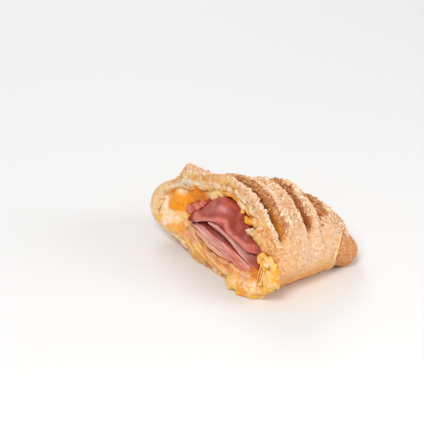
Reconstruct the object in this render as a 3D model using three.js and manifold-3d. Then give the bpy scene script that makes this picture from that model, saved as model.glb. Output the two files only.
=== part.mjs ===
// Half of a baked ham and cheese calzone, cut across the middle and lying on its flat base.
//
// A slashed bread crust wraps a stack of folded ham slices bedded in melted cheese. The crust is
// open at the cut and closed at the other end, where the dough is tucked into a small round tail.
// Three slashes across the top run right through the crust, and the bands of crust between them
// have puffed up. Grated crumbs are baked onto the bands, and cheese has run out of the cut.
//
// Millimetres, +Z up. While it is made, the loaf lies with X running from the cut (X = 0) to the
// closed end and Y running across it, from the near side at Y = 0 to the far side. At the end
// everything is moved so that the origin is at the middle of the base.

import * as THREE from "three";
import { mergeVertices } from "three/addons/utils/BufferGeometryUtils.js";
import Module from "manifold-3d";

const wasm = await Module();
wasm.setup();

// ---- driving dimensions ----------------------------------------------------------------------

const LOAF_END = 85; // length of the half, from the cut to the closed end
const END_MIDDLE = 14; // Y of the middle of the closed end
const CRUST_TOP = 8; // thickness of the crust over the filling
const CRUST_SIDE = 7.5;
const CRUST_BASE = 5;
const CRUST_END = 18; // solid dough at the closed end
const RIM_RISE = 4; // how high the narrow band between the cut and the first slash puffs up
const BAND_FACE = 8; // how far it is from a band's foot to its crest
const CRUMBS = 60; // how many crumbs are large enough to be modelled
const CRUMB_LARGEST = 3.2;
const CRUMB_SMALLEST = 2;
const CRUMB_SEED = 7;
const BLUNT = 0.93; // share of the loaf's taper at which the hollow in it ends bluntly
const OVERRUN = 12; // how far the uncut loaf is drawn past the cut, before it is cut off
const BASE_SINK = 4; // how far the loaf is drawn below the table, before its base is cut flat
const CHEESE_DEPTH = 57; // how far the cheese reaches into the loaf
const HAM_DEPTH = 46; // how far the ham slices reach into the loaf
const HAM_STRAIGHT = 4; // how far a ham slice runs straight into the loaf before it settles
const HAM_LEVEL = 14; // height towards which the stack of ham settles inside the loaf
const HAM_SETTLE = 0.55; // share of its height over that level that it has lost at its inner end
const FACET = 4.5; // width of the facets across the ham
const GAP = 0.3; // clearance between pieces that touch

// The loaf's outline at the cut, as Y and Z, from the near bottom corner up the near side and
// over the top. The base is drawn a little below the table and is cut flat there.
const SECTION = [
  [9, -BASE_SINK],
  [-0.5, 3],
  [-9.5, 12],
  [-14, 23],
  [-12.5, 34],
  [-7, 45],
  [1, 54.5],
  [10, 62.5],
  [21, 67.5],
  [34, 69],
  [47, 67],
  [62, 61.5],
  [78, 54.5],
  [93, 46.5],
  [104, 38.5],
  [110.5, 30],
  [111.5, 21],
  [106, 12.5],
  [92, 8.5],
  [76, 5],
  [60, -BASE_SINK],
  [30, -BASE_SINK],
];
const SECTION_LEFT = -14;
const SECTION_RIGHT = 111.5;
const SECTION_HEART = { y: 44, z: 30 }; // the point towards which the crust's thickness is measured
const BASE_STARTS = 0.68; // share of the way round the outline at which the base starts
const SPACE = { x: [-40, 120], y: [-24, 118], z: [-8, 82] }; // takes in the whole loaf

// ---- small helpers ---------------------------------------------------------------------------

const { sin, exp, min, max, floor, ceil, hypot, PI } = Math;
const lerp = THREE.MathUtils.lerp;
const smoothstep = THREE.MathUtils.smoothstep;

// Soft unevenness between -1 and 1, with lumps about `size` across.
function lumps(x, y, z, size) {
  const a = sin((x + 0.6 * y) / (0.32 * size) + 1.7);
  const b = sin((y - 0.8 * z) / (0.29 * size) + 4.1);
  const c = sin((z + 0.7 * x) / (0.26 * size) + 2.6);
  return (a + b + c) / 3;
}

// A curve through [y, z] points with Y rising, as a function from Y to Z. It is straight between
// neighbouring multiples of FACET, so that slices on both sides of it get the same facets.
function edge(points) {
  const along = points.map(([y]) => y);
  const heights = points.map(([, z]) => z);
  const curve = new THREE.CubicInterpolant(along, heights, 1, new Float64Array(1));
  const [first, last] = [along[0], along[along.length - 1]];
  const height = (y) => curve.evaluate(min(last, max(first, y)))[0];
  return (y) => {
    const step = floor(y / FACET);
    return lerp(height(step * FACET), height((step + 1) * FACET), y / FACET - step);
  };
}

// The same run of random numbers between 0 and 1 each time, from a seed.
function dice(seed) {
  let state = seed;
  return () => {
    state = (state * 1664525 + 1013904223) % 2 ** 32;
    return state / 2 ** 32;
  };
}

// A closed geometry as a solid, turned the right way out.
function solid(geometry) {
  const bare = geometry.clone();
  bare.deleteAttribute("normal");
  bare.deleteAttribute("uv");
  const merged = mergeVertices(bare, 1e-3);
  const corners = merged.index.array;
  const triangles = [];
  for (let i = 0; i < corners.length; i += 3) {
    const [a, b, c] = corners.slice(i, i + 3);
    if (a !== b && b !== c && c !== a) triangles.push(a, b, c);
  }
  const build = (order) =>
    new wasm.Manifold(
      new wasm.Mesh({
        numProp: 3,
        vertProperties: new Float32Array(merged.attributes.position.array),
        triVerts: new Uint32Array(order),
      }),
    );
  const made = build(triangles);
  return made.volume() > 0 ? made : build(triangles.reverse());
}

// Every vertex of a three.js geometry goes to the point that `place` gives for it.
function reshape(geometry, place) {
  const position = geometry.getAttribute("position");
  const point = new THREE.Vector3();
  for (let i = 0; i < position.count; i += 1) {
    place(point.fromBufferAttribute(position, i), i);
    position.setXYZ(i, point.x, point.y, point.z);
  }
  return geometry;
}

// A small uneven ball with its middle at `at` and its three radii in `size`.
function lump(at, size, { sides = 12, rings = 8, rough = 0.22 } = {}) {
  const ball = new THREE.SphereGeometry(1, sides, rings);
  return solid(
    reshape(ball, (point) => {
      const [x, y, z] = [point.x * 10, point.y * 10, point.z * 10];
      point.multiplyScalar(1 + rough * lumps(x + 3 * at[0], y + 3 * at[1], z + 3 * at[2], 13));
      point.set(at[0] + size[0] * point.x, at[1] + size[1] * point.y, at[2] + size[2] * point.z);
    }),
  );
}

// ---- the loaf's skin -------------------------------------------------------------------------

const outline = new THREE.CatmullRomCurve3(
  SECTION.map(([y, z]) => new THREE.Vector3(0, y, z)),
  true,
  "centripetal",
);
outline.arcLengthDivisions = 400;

// The slashes. Each runs over the loaf from a low end on the near side to a high end, given by X
// and by the share of the way round the outline, and is `width` wide at its middle. `rise` is how
// high the band of crust behind it has puffed up.
const SLASHES = [
  { low: { x: 6.5, round: 0.172 }, high: { x: 8, round: 0.34 }, width: 4, rise: 5 },
  { low: { x: 32.5, round: 0.165 }, high: { x: 41, round: 0.37 }, width: 5.5, rise: 6 },
  { low: { x: 44.5, round: 0.225 }, high: { x: 54, round: 0.38 }, width: 4.5, rise: 3.6 },
];

function slashAt({ low, high }, round) {
  return lerp(low.x, high.x, (round - low.round) / (high.round - low.round));
}

// How far the crust has puffed up here. Each band climbs from the slash in front of it to a
// crest, and then slopes down to the slash behind it.
function bandRise(x, round) {
  const slashesHere = SLASHES.map((slash) => slashAt(slash, round));
  const feet = [-OVERRUN - 2, ...slashesHere, LOAF_END + 4];
  const band = feet.findLastIndex((foot) => foot <= x);
  const climb = sin((PI / 2) * min(1, (x - feet[band]) / BAND_FACE)) ** 1.2;
  const slope = 1 - 0.6 * smoothstep(x, feet[band] + BAND_FACE, feet[band + 1]);
  const onTop = smoothstep(round, 0.12, 0.22) * (1 - smoothstep(round, 0.38, 0.52));
  return (SLASHES[band - 1]?.rise ?? RIM_RISE) * climb * slope * onTop;
}

// How far one place of the crust is pushed out from the smooth loaf.
function crustRelief(x, y, z, round) {
  const fadeAtEnd = smoothstep(LOAF_END - x, 0, 12);
  const aboveBase = smoothstep(z, 2, 16);
  const uneven = 1.1 * lumps(x, y, z, 36) + 0.5 * lumps(y, z, x, 12);
  const peak = 10 * exp(-(((x - 11) / 7) ** 2) - ((y - 75) / 7.5) ** 2) * smoothstep(z, 20, 40);
  return (bandRise(x, round) + peak + uneven * aboveBase) * fadeAtEnd;
}

// How far each surface lies below the loaf's skin, and how far it stops short of the closed end:
// the skin itself, the hollow in the crust, and the filling a clearance inside the hollow.
const OUTSIDE = { side: 0, top: 0, base: 0, end: 0, short: 0 };
const INSIDE = {
  side: CRUST_SIDE,
  top: CRUST_TOP,
  base: CRUST_BASE + BASE_SINK,
  end: CRUST_END,
  short: 0,
};
const FILLING = {
  side: INSIDE.side + GAP,
  top: INSIDE.top + GAP,
  base: INSIDE.base + GAP,
  end: INSIDE.end,
  short: 2 * GAP,
};

// The Y and Z of the loaf's skin at X, part of the way round its outline, inside a wall.
function skinPoint(x, round, wall, relief) {
  const reach = wall.end ? (max(0, x) * BLUNT * LOAF_END) / (LOAF_END - wall.end) : max(0, x);
  const share = min(1, reach / LOAF_END);
  const near = lerp(END_MIDDLE, SECTION_LEFT, (1 - share ** 3.6) ** (1 / 2.6));
  const far = lerp(END_MIDDLE, SECTION_RIGHT, (1 - share ** 2) ** (1 / 2));
  const sink = lerp(1, 0.87, smoothstep(reach, 0, 26));
  const height = sink * (1 - share ** 2.3) ** 0.6;
  const place = (y, z) => [
    lerp(near, far, (y - SECTION_LEFT) / (SECTION_RIGHT - SECTION_LEFT)),
    z * height,
  ];
  const corner = outline.getPointAt(round % 1);
  const [y, z] = place(corner.y, corner.z);
  const [heartY, heartZ] = place(SECTION_HEART.y, SECTION_HEART.z);
  const away = new THREE.Vector2(y - heartY, z - heartZ);
  const length = max(1e-6, away.length());
  const upward = away.y / length;
  const thick = upward > 0 ? lerp(wall.side, wall.top, upward) : lerp(wall.side, wall.base, -upward);
  const sunk = thick > 0 ? thick * min(1, length / (2 * thick)) : thick;
  const out = (relief ? relief(x, y, z, round) : 0) - sunk;
  const shift = max(-length, out) / length;
  return [y + away.x * shift, max(z + away.y * shift, wall.base - BASE_SINK)];
}

// A sphere's rings and poles, drawn out into the loaf or into the space inside it.
function loafBody(wall, { sides, stations, relief }) {
  const geometry = new THREE.SphereGeometry(1, sides, stations);
  const topSides = Math.round(sides * 0.86);
  const firstPole = { y: wall.end ? 24 : END_MIDDLE, z: 20 };
  const lastPole = { y: firstPole.y, z: wall.base + 2 };
  return reshape(geometry, (point, i) => {
    const station = Math.floor(i / (sides + 1));
    const side = i % (sides + 1);
    // Most of the ring's points lie above the base, which is cut flat.
    const round =
      side <= topSides
        ? lerp(0, BASE_STARTS, side / topSides)
        : lerp(BASE_STARTS, 1, (side - topSides) / (sides - topSides));
    const run = min(1, max(0, station - 1) / (stations - 2));
    const place = lerp(-OVERRUN, LOAF_END - wall.end, sin((PI / 2) * run));
    const x = place - wall.short * run;
    if (station === 0 || station === stations) {
      const pole = station === 0 ? firstPole : lastPole;
      point.set(x, pole.y, pole.z);
      return;
    }
    const [y, z] = skinPoint(place, round, wall, relief);
    point.set(x, y, z);
  });
}

// The hollow in the crust and the cheese that fills it have the same facets, a clearance apart.
const HOLLOW_MESH = { sides: 28, stations: 13 };

// ---- the crust -------------------------------------------------------------------------------

// X of the torn cut face at a point across it.
function cutFace(y, z) {
  return 1.2 * lumps(y, z, 0, 40) + 0.8 * lumps(z, y, 20, 13) + 0.05 * (z - 30);
}

// All the space between two surfaces that give X for each Y and Z, as a block to take away.
function between(front, back, across, up) {
  const block = new THREE.BoxGeometry(1, 1, 1, 1, across, up);
  return solid(
    reshape(block, (point) => {
      const y = lerp(...SPACE.y, point.y + 0.5);
      const z = lerp(...SPACE.z, point.z + 0.5);
      point.set(point.x > 0 ? back(y, z) : front(y, z), y, z);
    }),
  );
}

// Everything in front of a surface.
const inFrontOf = (surface, across = 30, up = 20) => between(() => SPACE.x[0], surface, across, up);

const belowTable = solid(new THREE.BoxGeometry(400, 400, 40).translate(0, 0, -20));

// The knife's path through the crust along one slash, widest at its middle.
function slashCut(slash) {
  const knife = new THREE.BoxGeometry(1, 1, 1, 1, 14, 1);
  const [from, to] = [slash.low.round, slash.high.round];
  return solid(
    reshape(knife, (point) => {
      const run = point.y + 0.5;
      const round = lerp(from, to, run);
      const x = slashAt(slash, round);
      const opening = slash.width * (0.1 + 0.9 * sin(PI * run) ** 0.7);
      const depth = point.z < 0 ? CRUST_TOP + 3 : -10;
      const narrowing = point.z < 0 ? 0.5 : 1.5;
      const [y, z] = skinPoint(x, round, { side: depth, top: depth, base: depth, end: 0 });
      point.set(x + point.x * opening * narrowing, y, z);
    }),
  );
}

// The dough at the closed end, tucked under into a small round tail.
const TAIL = { at: [68.3, 0.2, 11], size: [11, 10.5, 11.5] };
const tail = () => lump(TAIL.at, TAIL.size, { sides: 22, rings: 14, rough: 0.05 });

// A flap of crumb that the cut has torn loose on the near side of the opening: its root, which
// sits on the crust's rim, and its tip, which hangs in front of the ham.
const TORN_FLAP = [
  { at: [0.4, 3.5, 45], size: [2.6, 5, 4.2] },
  { at: [-1.2, 9.5, 43.4], size: [1.6, 5.4, 2.8] },
];
const FLAP_MESH = { sides: 10, rings: 7, rough: 0.3 };


// Grated crumbs baked onto the tops of the bands, the largest first. None lies on the bare dough
// that faces a slash, or so close to the cut that it would hang over it.
const CRUMBED = { x: [3, 76], round: [0.15, 0.47], apart: 4.2 };

function crumbs() {
  const random = dice(CRUMB_SEED);
  const places = [];
  const made = [];
  for (let tries = 0; made.length < CRUMBS && tries < 40 * CRUMBS; tries += 1) {
    const x = lerp(...CRUMBED.x, random());
    const round = lerp(...CRUMBED.round, random());
    const foot = SLASHES.map((slash) => slashAt(slash, round)).findLast((at) => at < x) ?? -20;
    const edges = SLASHES.map((slash) => x - slashAt(slash, round));
    const clear = x - foot > BAND_FACE - 2.5 && edges.every((away) => away > 3.5 || away < -4);
    if (!clear) continue;
    const [y, z] = skinPoint(x, round, OUTSIDE, crustRelief);
    const near = (other) => hypot(other[0] - x, other[1] - y, other[2] - z) < CRUMBED.apart;
    if (places.some(near)) continue;
    places.push([x, y, z]);
    const size = lerp(CRUMB_LARGEST, CRUMB_SMALLEST, made.length / CRUMBS) / 2;
    const grain = new THREE.IcosahedronGeometry(1, 0);
    const turn = new THREE.Euler(6 * random(), 6 * random(), 6 * random());
    const stretch = new THREE.Vector3(1.35, 0.95, 0.8).multiplyScalar(size);
    grain.scale(...stretch.toArray());
    grain.applyQuaternion(new THREE.Quaternion().setFromEuler(turn));
    made.push(solid(grain.translate(x, y, z)));
  }
  return made;
}

function crust() {
  let shell = solid(loafBody(OUTSIDE, { sides: 56, stations: 38, relief: crustRelief }));
  const hollow = solid(loafBody(INSIDE, HOLLOW_MESH));
  shell = shell.add(tail()).subtract(hollow).subtract(inFrontOf(cutFace)).subtract(belowTable);
  for (const slash of SLASHES) shell = shell.subtract(slashCut(slash));
  for (const { at, size } of TORN_FLAP) shell = shell.add(lump(at, size, FLAP_MESH));
  for (const crumb of crumbs()) shell = shell.add(crumb);
  return shell.subtract(belowTable);
}

// ---- the ham ---------------------------------------------------------------------------------

// The upper and lower edges of the ham slices where they show at the cut, as Z over Y.
const hamLine = {
  cornerTop: edge([
    [57, 46],
    [66, 41],
    [77, 34.6],
  ]),
  foldTop: edge([
    [2, 29],
    [6, 31],
    [9, 35],
    [14, 44],
    [21, 49.5],
    [27, 51.6],
    [34, 54.5],
    [39, 55.2],
    [45, 53.2],
    [52, 48.5],
    [58, 42.5],
    [66, 35.5],
    [72, 30.5],
    [77, 30.5],
  ]),
  foldLip: edge([
    [0, 28],
    [10, 31.5],
    [22, 34.7],
    [32, 39],
    [38, 40.6],
    [46, 38.6],
    [53, 34.9],
    [66, 29.2],
    [72, 28.2],
  ]),
  underFold: edge([
    [0, 23.5],
    [7, 27],
    [16, 29.6],
    [25, 31.5],
    [37, 35],
    [47, 36.2],
    [56, 32.6],
    [66, 28.8],
  ]),
  middleTop: edge([
    [2, 22.6],
    [10, 24.7],
    [17, 27],
    [23, 28.4],
    [30, 29.2],
    [39, 29.8],
    [49, 31],
    [58, 30.6],
    [68, 27.8],
  ]),
  middleLow: edge([
    [6, 16.5],
    [13, 15.4],
    [18, 16.2],
    [27, 20.4],
    [34, 24.4],
    [43, 26.6],
    [51, 28.2],
    [60, 28.2],
    [68, 26.8],
  ]),
  lowLow: edge([
    [17, 13.4],
    [25, 14.6],
    [33, 16.9],
    [41, 18.9],
    [51, 21.2],
    [60, 23],
    [70, 25.4],
  ]),
  bottomLow: edge([
    [26, 11.4],
    [36, 13],
    [46, 14.4],
    [56, 16.5],
    [66, 20],
  ]),
  stackLow: edge([
    [0, 22],
    [5, 15.5],
    [12, 14],
    [17, 12.4],
    [26, 10.6],
    [36, 12.4],
    [46, 13.8],
    [56, 15.8],
    [66, 19],
    [71, 24],
  ]),
};

// Each slice: the lines above and below it, the Y where it starts and ends at the cut, and how
// far its lower and upper edges stand out of the cut.
const HAM = [
  { name: "ham_corner", top: "cornerTop", low: "foldTop", from: 57.5, to: 77, out: [-1, -3], deep: 24 },
  { name: "ham_fold", top: "foldTop", low: "foldLip", from: 4, to: 71.5, out: [7.5, -2], rows: 4 },
  { name: "ham_under", top: "foldLip", low: "underFold", from: 1, to: 61, out: [6.5, 7.5] },
  { name: "ham_middle", top: "middleTop", low: "middleLow", from: 6, to: 66, out: [5, 5.5] },
  { name: "ham_low", top: "middleLow", low: "lowLow", from: 17, to: 69, out: [3, 3.6] },
  { name: "ham_bottom", top: "lowLow", low: "bottomLow", from: 27, to: 65, out: [2, 2.5] },
];

// The space that the ham takes up in the cheese, as two slices that take in all of the others.
const HAM_SPACE = [
  { top: "cornerTop", low: "foldTop", from: 57, to: 77.5, out: [20, 20], deep: 24.5 },
  { top: "foldTop", low: "stackLow", from: 0, to: 72, out: [24, 24], deep: HAM_DEPTH + 0.5 },
];

// A slice runs from the cut into the loaf, where the stack thins and lies level. `spare` makes it
// thicker all round, for the space that it takes up in the cheese.
function hamSlice({ top, low, from, to, out, deep = HAM_DEPTH, rows = 2 }, spare) {
  const stops = [from - spare];
  for (let y = ceil(from / FACET) * FACET; y < to; y += FACET) {
    if (y > from) stops.push(y);
  }
  stops.push(to + spare);
  const cells = stops.length - 1;
  const sheet = new THREE.BoxGeometry(1, 1, 1, 3, cells, rows);
  return solid(
    reshape(sheet, (point) => {
      const [depth, across, up] = [point.x + 0.5, point.y + 0.5, point.z + 0.5];
      const y = stops[Math.round(across * cells)];
      const upper = hamLine[top](y) + spare;
      const lower = hamLine[low](y) - spare;
      const thin = min(1, (upper - lower) / 1.2);
      const ends = lerp(0.35, 1, sin(PI * across) ** 0.35);
      const ripple = 0.8 * lumps(y, 3 * up, from, 15);
      const front = -lerp(out[0], out[1], up) * ends * thin + ripple - spare;
      const stations = [front, HAM_STRAIGHT, (HAM_STRAIGHT + deep) / 2, deep + spare];
      const x = stations[Math.round(3 * depth)];
      const inward = max(0, x - HAM_STRAIGHT) / (HAM_DEPTH - HAM_STRAIGHT);
      const z = lerp(lower, max(upper, lower + 0.3), up) - HAM_LEVEL;
      point.set(x, lerp(y, 4 + 0.75 * y, inward), HAM_LEVEL + z * (1 - HAM_SETTLE * inward));
    }),
  );
}

// ---- the cheese ------------------------------------------------------------------------------

// Cheese that has run out of the cut, as middles and radii.
const OOZE = [
  { at: [-2, -8.5, 19], size: [4.2, 8, 9] },
  { at: [-1.5, -2, 8], size: [4.5, 7, 9] },
  { at: [-3, 6, 5.5], size: [6, 8, 6.5] },
  { at: [-4, 19, 5], size: [6, 9.5, 5.5] },
  { at: [-2.5, -3.5, 30.5], size: [3.6, 4.5, 5] },
  { at: [-8, 12.5, 1.5], size: [2.8, 2.4, 3.5] },
];

// X of the cheese's own surface at the cut: level with it along the bottom, sunk at the top, and
// with a hollow under the crust beside the ham.
function cheeseFace(y, z) {
  const sunk = lerp(-3, 3.5, smoothstep(z, 10, 34));
  const pocket = 15 * exp(-(((y - 50) / 8) ** 4) - ((z - 53) / 8) ** 4);
  return cutFace(y, z) + sunk + pocket + 1.6 * lumps(z, y, 7, 15);
}

function cheese() {
  let body = solid(loafBody(FILLING, HOLLOW_MESH));
  body = body.subtract(inFrontOf(cheeseFace, 20, 14));
  const behind = between((y, z) => cutFace(y, z) - GAP, () => SPACE.x[1], 30, 20);
  for (const { at, size } of OOZE) body = body.add(lump(at, size).subtract(behind));
  for (const space of HAM_SPACE) body = body.subtract(hamSlice(space, 2 * GAP));
  const beyondCheese = new THREE.BoxGeometry(80, 400, 400).translate(40 + CHEESE_DEPTH, 0, 0);
  return body.subtract(solid(beyondCheese)).subtract(belowTable);
}

// ---- the nodes -------------------------------------------------------------------------------

const calzone = new THREE.Group();

function node(name, shape, colour, roughness) {
  const mesh = shape.getMesh();
  const geometry = new THREE.BufferGeometry();
  geometry.setAttribute("position", new THREE.BufferAttribute(mesh.vertProperties, 3));
  geometry.setIndex(new THREE.BufferAttribute(mesh.triVerts, 1));
  const material = new THREE.MeshStandardMaterial({ color: colour, roughness, metalness: 0 });
  const made = new THREE.Mesh(geometry, material);
  made.name = name;
  calzone.add(made);
}

node("crust", crust(), 0xd9a066, 0.85);
node("cheese", cheese(), 0xf2a53a, 0.45);
for (const slice of HAM) node(slice.name, hamSlice(slice, -1.2 * GAP), 0xb05a4c, 0.4);

// The origin goes to the middle of the base.
const box = new THREE.Box3().setFromObject(calzone);
const middle = box.getCenter(new THREE.Vector3());
calzone.position.set(-middle.x, -middle.y, -box.min.z);

export default calzone;
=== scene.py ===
# %% [markdown]
# # Half of a ham and cheese calzone
#
# A calzone is a sheet of bread dough folded over a filling and baked. This one has been cut
# across the middle, and one half lies on its flat base with the cut towards us: a slashed crust
# with grated crumbs baked on, a stack of folded ham, and cheese that has melted and run out.
#
# The solid model gives every piece its real place and size. This lesson gives the pieces their
# looks. Lengths are in millimetres until they are handed to Blender, which works in metres.

# %% Load the solid model
import math

import bpy
import numpy as np
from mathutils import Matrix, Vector, noise
from mathutils.bvhtree import BVHTree
from mathutils.kdtree import KDTree


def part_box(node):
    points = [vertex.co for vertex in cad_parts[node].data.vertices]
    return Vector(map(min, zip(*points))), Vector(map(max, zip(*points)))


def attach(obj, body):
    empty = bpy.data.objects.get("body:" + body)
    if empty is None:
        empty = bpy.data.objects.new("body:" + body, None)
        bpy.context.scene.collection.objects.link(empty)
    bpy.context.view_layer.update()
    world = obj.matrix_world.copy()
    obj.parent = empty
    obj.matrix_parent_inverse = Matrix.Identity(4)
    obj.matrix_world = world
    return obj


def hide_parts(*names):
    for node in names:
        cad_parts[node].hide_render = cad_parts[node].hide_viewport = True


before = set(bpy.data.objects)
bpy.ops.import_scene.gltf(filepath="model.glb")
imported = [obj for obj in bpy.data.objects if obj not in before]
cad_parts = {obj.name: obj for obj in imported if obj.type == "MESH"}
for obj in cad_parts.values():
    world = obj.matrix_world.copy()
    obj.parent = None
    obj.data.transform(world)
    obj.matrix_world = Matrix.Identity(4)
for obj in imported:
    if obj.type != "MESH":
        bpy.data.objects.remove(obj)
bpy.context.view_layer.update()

# %% [markdown]
# ## Where things are
#
# It is easier to think about a loaf from its cut than from the middle of its base. So places are
# given in millimetres from the cut (x), from the near bottom corner (y) and from the table (z).
# The closed end and the far side of the solid crust show where that corner is.

# %% Places on the loaf
MM = 0.001
LOAF_LENGTH = 85
LOAF_ACROSS = 111.8
ABOVE_TABLE = 0.2  # the lowest that a crumb or a slice of ham may reach

far_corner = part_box("crust")[1]
CORNER = np.array([far_corner.x / MM - LOAF_LENGTH, far_corner.y / MM - LOAF_ACROSS, 0])


def place(x, y, z):
    """A point given from the loaf's near bottom corner, in Blender's metres."""
    return Vector((CORNER + (x, y, z)) * MM)


def read_rows(items, name, width=3, kind=np.float32):
    """One row of numbers for each vertex or face."""
    flat = np.empty(width * len(items), kind)
    items.foreach_get(name, flat)
    return flat.reshape(-1, width)


def read_points(piece):
    """The piece's vertices, in millimetres from the loaf's corner."""
    return read_rows(piece.data.vertices, "co").astype(float) / MM - CORNER


def write_points(piece, points):
    """Puts the piece's vertices at these points."""
    flat = ((points + CORNER) * MM).astype(np.float32).ravel()
    piece.data.vertices.foreach_set("co", flat)
    piece.data.update()


def read_normals(piece):
    """The way that the surface faces at each vertex."""
    return read_rows(piece.data.vertex_normals, "vector").astype(float)


print("the loaf's corner is at", CORNER.round(1), "mm")

# %% [markdown]
# ## Numbers that vary smoothly
#
# Food is never even. A few small functions make almost all of the unevenness here: a smooth step
# from 0 to 1, a smooth hill, soft lumps of a chosen size, and a line given by a few points.


# %% Steps, hills, lumps and lines
def step(value, start, end):
    """0 before start, 1 after end, and a smooth rise between. Start may be above end."""
    share = np.clip((value - start) / (end - start), 0, 1)
    return share * share * (3 - 2 * share)


def hill(value, middle, reach):
    """1 at the middle, falling away smoothly on both sides."""
    return np.exp(-(((value - middle) / reach) ** 2))


def spot(points, middle, reach):
    """1 at a place, falling away smoothly around it, as far as reach says along x, y and z."""
    return np.exp(-(((points - np.array(middle)) / np.array(reach)) ** 2).sum(1))


def lumps(points, size, seed=0.0):
    """Soft noise between about -1 and 1, in lumps about `size` millimetres across."""
    places = points / size + seed
    return 1.5 * np.array([noise.noise(p) for p in places.tolist()])


def height_on(line, across):
    """The height of a line at each place across it, from its (place, height) points in order."""
    return np.interp(across, *zip(*line))


# %% [markdown]
# ## Paint
#
# Most of what a baker sees as colour depends on place: pale where the dough was shaded, brown
# where it faced the heat. So each piece keeps a paint colour on its vertices, laid on in layers
# as with a brush, and its material adds the detail that is finer than that.


# %% Colours laid on vertices
def tone(red, green, blue):
    """A colour as a paint tin names it, 0 to 255, in the linear light that shaders use."""
    shares = [channel / 255 for channel in (red, green, blue)]
    linear = [s / 12.92 if s <= 0.04045 else ((s + 0.055) / 1.055) ** 2.4 for s in shares]
    return (*linear, 1.0)


def coat(points, *colour):
    """A first, even coat for that many points."""
    return np.tile(tone(*colour)[:3], (len(points), 1))


def cover(paint, amount, other):
    """Lays other paint over the paint, fully where amount is 1."""
    return paint + amount[:, None] * (other - paint)


def brush(paint, amount, *colour):
    """Lays one colour over the paint, fully where amount is 1 or more."""
    return cover(paint, np.clip(amount, 0, 1), np.array(tone(*colour)[:3]))


def keep(piece, paint, **marks):
    """Keeps the paint, and any other numbers, on the piece's vertices for its material."""
    held = piece.data.attributes.new("paint", "FLOAT_COLOR", "POINT")
    with_alpha = np.column_stack([paint, np.ones(len(paint))])
    held.data.foreach_set("color", with_alpha.astype(np.float32).ravel())
    for name, values in marks.items():
        held = piece.data.attributes.new(name, "FLOAT", "POINT")
        held.data.foreach_set("value", np.asarray(values, np.float32))


# %% [markdown]
# ## From a faceted solid to a smooth body
#
# The solids have broad facets. A copy of a solid becomes a fine, even skin in three steps: its
# corners are merged, a voxel remesh lays small squares all over it, and a smoothing pass takes
# the facets away. The solid itself stays as it is. Anything that should melt into the body, such
# as a drip, is joined to the copy before the remesh.


# %% Select pieces and apply modifiers
def choose(*pieces):
    """Makes these the only selected objects, and the last of them the active one."""
    bpy.ops.object.select_all(action="DESELECT")
    for piece in pieces:
        piece.select_set(True)
    bpy.context.view_layer.objects.active = pieces[-1]


def apply(piece, kind, **settings):
    """Adds a modifier, sets it and applies it."""
    choose(piece)
    modifier = piece.modifiers.new(kind.title(), kind)
    for name, value in settings.items():
        setattr(modifier, name, value)
    bpy.ops.object.modifier_apply(modifier=modifier.name)


# %% A fine copy of a solid
def fine_copy(node, name, voxel, smoothing, extras=()):
    """A fine, smooth copy of a solid, with voxels of that many millimetres."""
    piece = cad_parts[node].copy()
    piece.data = piece.data.copy()
    piece.name = piece.data.name = name
    bpy.context.collection.objects.link(piece)
    piece.data.materials.clear()
    choose(piece)
    bpy.ops.object.mode_set(mode="EDIT")
    bpy.ops.mesh.select_all(action="SELECT")
    bpy.ops.mesh.remove_doubles(threshold=0.001 * MM)
    bpy.ops.object.mode_set(mode="OBJECT")
    if extras:
        choose(*extras, piece)
        bpy.ops.object.join()
    apply(piece, "REMESH", mode="VOXEL", voxel_size=voxel * MM)
    apply(piece, "SMOOTH", factor=0.5, iterations=smoothing)
    bpy.ops.object.shade_smooth()
    for old in [a.name for a in piece.data.attributes if a.name.startswith("custom")]:
        piece.data.attributes.remove(piece.data.attributes[old])
    return piece


# %% Balls, and how a piece is finished
def ball(middle, radii):
    """A ball of melted cheese or torn dough, with its place in its mesh."""
    bpy.ops.object.select_all(action="DESELECT")
    bpy.ops.mesh.primitive_uv_sphere_add(segments=24, ring_count=14, radius=MM)
    made = bpy.context.object
    bpy.ops.object.mode_set(mode="EDIT")
    bpy.ops.transform.resize(value=radii)
    bpy.ops.transform.translate(value=place(*middle))
    bpy.ops.object.mode_set(mode="OBJECT")
    return made


def finish_piece(piece, material, slot, *nodes):
    """Gives a piece its material and ties it to the solid model."""
    piece.data.materials.clear()
    piece.data.materials.append(material)
    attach(piece, "root")
    if nodes:
        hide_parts(*nodes)
    triangles = sum(len(face.vertices) - 2 for face in piece.data.polygons)
    print(f"{piece.name}: {triangles} triangles")


# %% [markdown]
# ## Materials from expressions
#
# A shader is arithmetic on sockets. A small class wraps a socket, so that `1 - mask` or
# `0.4 * spots + 0.2` adds the Math nodes by itself, and one method makes any other node.


# %% Sockets that can be used in arithmetic
class Term:
    """A shader socket. Arithmetic on it adds Math nodes."""

    def __init__(self, surface, socket):
        self.surface = surface
        self.socket = socket

    def maths(self, operation, *values):
        """One Math node on these values."""
        inputs = dict(enumerate(values))
        return self.surface.node("ShaderNodeMath", inputs, operation=operation)

    def __add__(self, other):
        return self.maths("ADD", self, other)

    def __sub__(self, other):
        return self.maths("SUBTRACT", self, other)

    def __rsub__(self, other):
        return self.maths("SUBTRACT", other, self)

    def __mul__(self, other):
        return self.maths("MULTIPLY", self, other)

    __radd__ = __add__
    __rmul__ = __mul__

    def rise(self, start, end):
        """0 below start, 1 above end, and a smooth rise between."""
        inputs = {"Value": self, "From Min": start, "From Max": end}
        return self.surface.node("ShaderNodeMapRange", inputs, interpolation_type="SMOOTHSTEP")


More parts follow.
